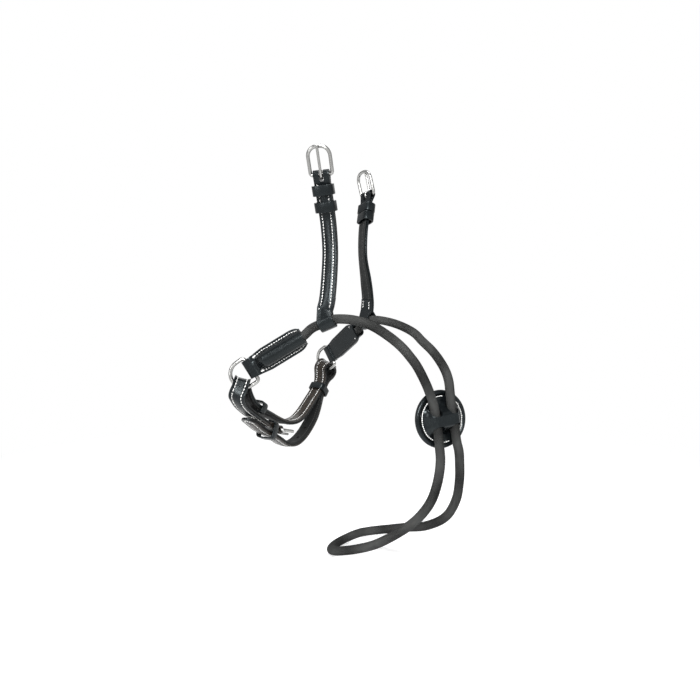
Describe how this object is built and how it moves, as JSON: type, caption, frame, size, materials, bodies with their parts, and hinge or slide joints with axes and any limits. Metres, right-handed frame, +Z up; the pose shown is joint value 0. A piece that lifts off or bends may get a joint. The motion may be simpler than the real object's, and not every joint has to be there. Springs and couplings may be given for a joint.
{
  "type": "figure eight noseband",
  "caption": "Noseband of round rope with cheek straps and buckles, a slotted nose disc, folded end tabs with D-rings and a buckled jaw strap.",
  "frame": {"origin": "on the middle plane, level with the rope where the two cheek straps hold it, midway between them, in the space that the horse's nose fills", "axes": "+X forward to the horse's nose, +Y to the horse's left, +Z up along the cheek straps"},
  "size_m": [0.2176, 0.2125, 0.431],
  "materials": {
    "leather": "satin",
    "lining": "matt",
    "steel": "polished",
    "rope": "matt woven"
  },
  "bodies": {
    "noseband": {"rope": "rope", "near_end_tab": "leather", "far_end_tab": "leather"},
    "near_ring": {"near_ring": "steel"},
    "far_ring": {"far_ring": "steel"},
    "near_cheek": {"near_cheek_strap": "leather", "near_cheek_lining": "lining", "near_fixed_keeper": "leather"},
    "near_running_keeper": {"near_running_keeper": "leather"},
    "near_crown_frame": {"near_crown_buckle_frame": "steel"},
    "near_crown_tongue": {"near_crown_buckle_tongue": "steel"},
    "far_cheek": {"far_cheek_strap": "leather", "far_cheek_lining": "lining", "far_fixed_keeper": "leather"},
    "far_running_keeper": {"far_running_keeper": "leather"},
    "far_crown_frame": {"far_crown_buckle_frame": "steel"},
    "far_crown_tongue": {"far_crown_buckle_tongue": "steel"},
    "nose_disc": {"nose_disc_leather": "leather", "nose_disc_rim": "leather", "nose_disc_pad": "lining"},
    "jaw_strap": {"jaw_strap_leather": "leather", "jaw_strap_lining": "lining", "point_keeper": "leather"},
    "jaw_frame": {"jaw_buckle_frame": "steel"},
    "jaw_tongue": {"jaw_buckle_tongue": "steel"},
    "line_keeper": {"line_keeper": "leather"},
    "far_keeper": {"far_keeper": "leather"}
  },
  "joints": [
    {"name": "near_ring_swing", "type": "hinge", "parent": "noseband", "child": "near_ring", "pos_m": [-0.07009, -0.08009, -0.04683], "axis": [0.5036, 0.2673, -0.8215], "range_deg": [-2, 2]},
    {"name": "near_cheek_turn", "type": "hinge", "parent": "noseband", "child": "near_cheek", "pos_m": [0.0005, -0.0498, 0.0009], "axis": [0.8914, 0.2759, 0.3595], "range_deg": [-15, 15]},
    {"name": "near_running_slide", "type": "slide", "parent": "near_cheek", "child": "near_running_keeper", "axis": [-0.003, -0.186, 0.9825], "range_m": [-0.004, 0.004]},
    {"name": "near_frame_swing", "type": "hinge", "parent": "near_cheek", "child": "near_crown_frame", "pos_m": [-0.0021, -0.05398, 0.14293], "axis": [-0.9542, -0.2933, -0.0586], "range_deg": [-25, 25]},
    {"name": "near_tongue_lift", "type": "hinge", "parent": "near_crown_frame", "child": "near_crown_tongue", "pos_m": [-0.0021, -0.05398, 0.14293], "axis": [0.9542, 0.2933, 0.0586], "range_deg": [0, 60]},
    {"name": "far_ring_swing", "type": "hinge", "parent": "noseband", "child": "far_ring", "pos_m": [-0.06877, 0.08211, -0.04667], "axis": [-0.5345, 0.0785, 0.8415], "range_deg": [-2, 2]},
    {"name": "far_cheek_turn", "type": "hinge", "parent": "noseband", "child": "far_cheek", "pos_m": [-0.0008, 0.05, -0.0014], "axis": [0.9086, -0.3208, 0.2674], "range_deg": [-15, 15]},
    {"name": "far_running_slide", "type": "slide", "parent": "far_cheek", "child": "far_running_keeper", "axis": [-0.003, 0.1859, 0.9826], "range_m": [-0.004, 0]},
    {"name": "far_frame_swing", "type": "hinge", "parent": "far_cheek", "child": "far_crown_frame", "pos_m": [-0.0034, 0.05416, 0.14287], "axis": [0.898, -0.429, 0.0978], "range_deg": [-25, 25]},
    {"name": "far_tongue_lift", "type": "hinge", "parent": "far_crown_frame", "child": "far_crown_tongue", "pos_m": [-0.0034, 0.05416, 0.14287], "axis": [-0.898, 0.429, -0.0978], "range_deg": [0, 60]},
    {"name": "disc_slide", "type": "slide", "parent": "noseband", "child": "nose_disc", "axis": [-0.166, -0.004, 0.9861], "range_m": [-0.004, 0.004]},
    {"name": "jaw_strap_swing", "type": "hinge", "parent": "noseband", "child": "jaw_strap", "pos_m": [-0.07576, -0.0005, -0.05145], "axis": [-0.0007, 1, 0.0023], "range_deg": [-1, 8]},
    {"name": "jaw_frame_swing", "type": "hinge", "parent": "jaw_strap", "child": "jaw_frame", "pos_m": [-0.08, -0.0255, -0.1212], "axis": [1, 0.0002, 0.0006], "range_deg": [-8, 8]},
    {"name": "jaw_tongue_lift", "type": "hinge", "parent": "jaw_frame", "child": "jaw_tongue", "pos_m": [-0.08, -0.0255, -0.1212], "axis": [-1, -0.0002, -0.0006], "range_deg": [0, 7]},
    {"name": "line_keeper_slide", "type": "slide", "parent": "jaw_strap", "child": "line_keeper", "axis": [-0.0174, 0.8538, -0.5203], "range_m": [-0.003, 0.003]},
    {"name": "strand_keeper_slide", "type": "slide", "parent": "jaw_strap", "child": "far_keeper", "axis": [0.0303, 0.7215, 0.6918], "range_m": [-0.002, 0.002]}
  ]
}
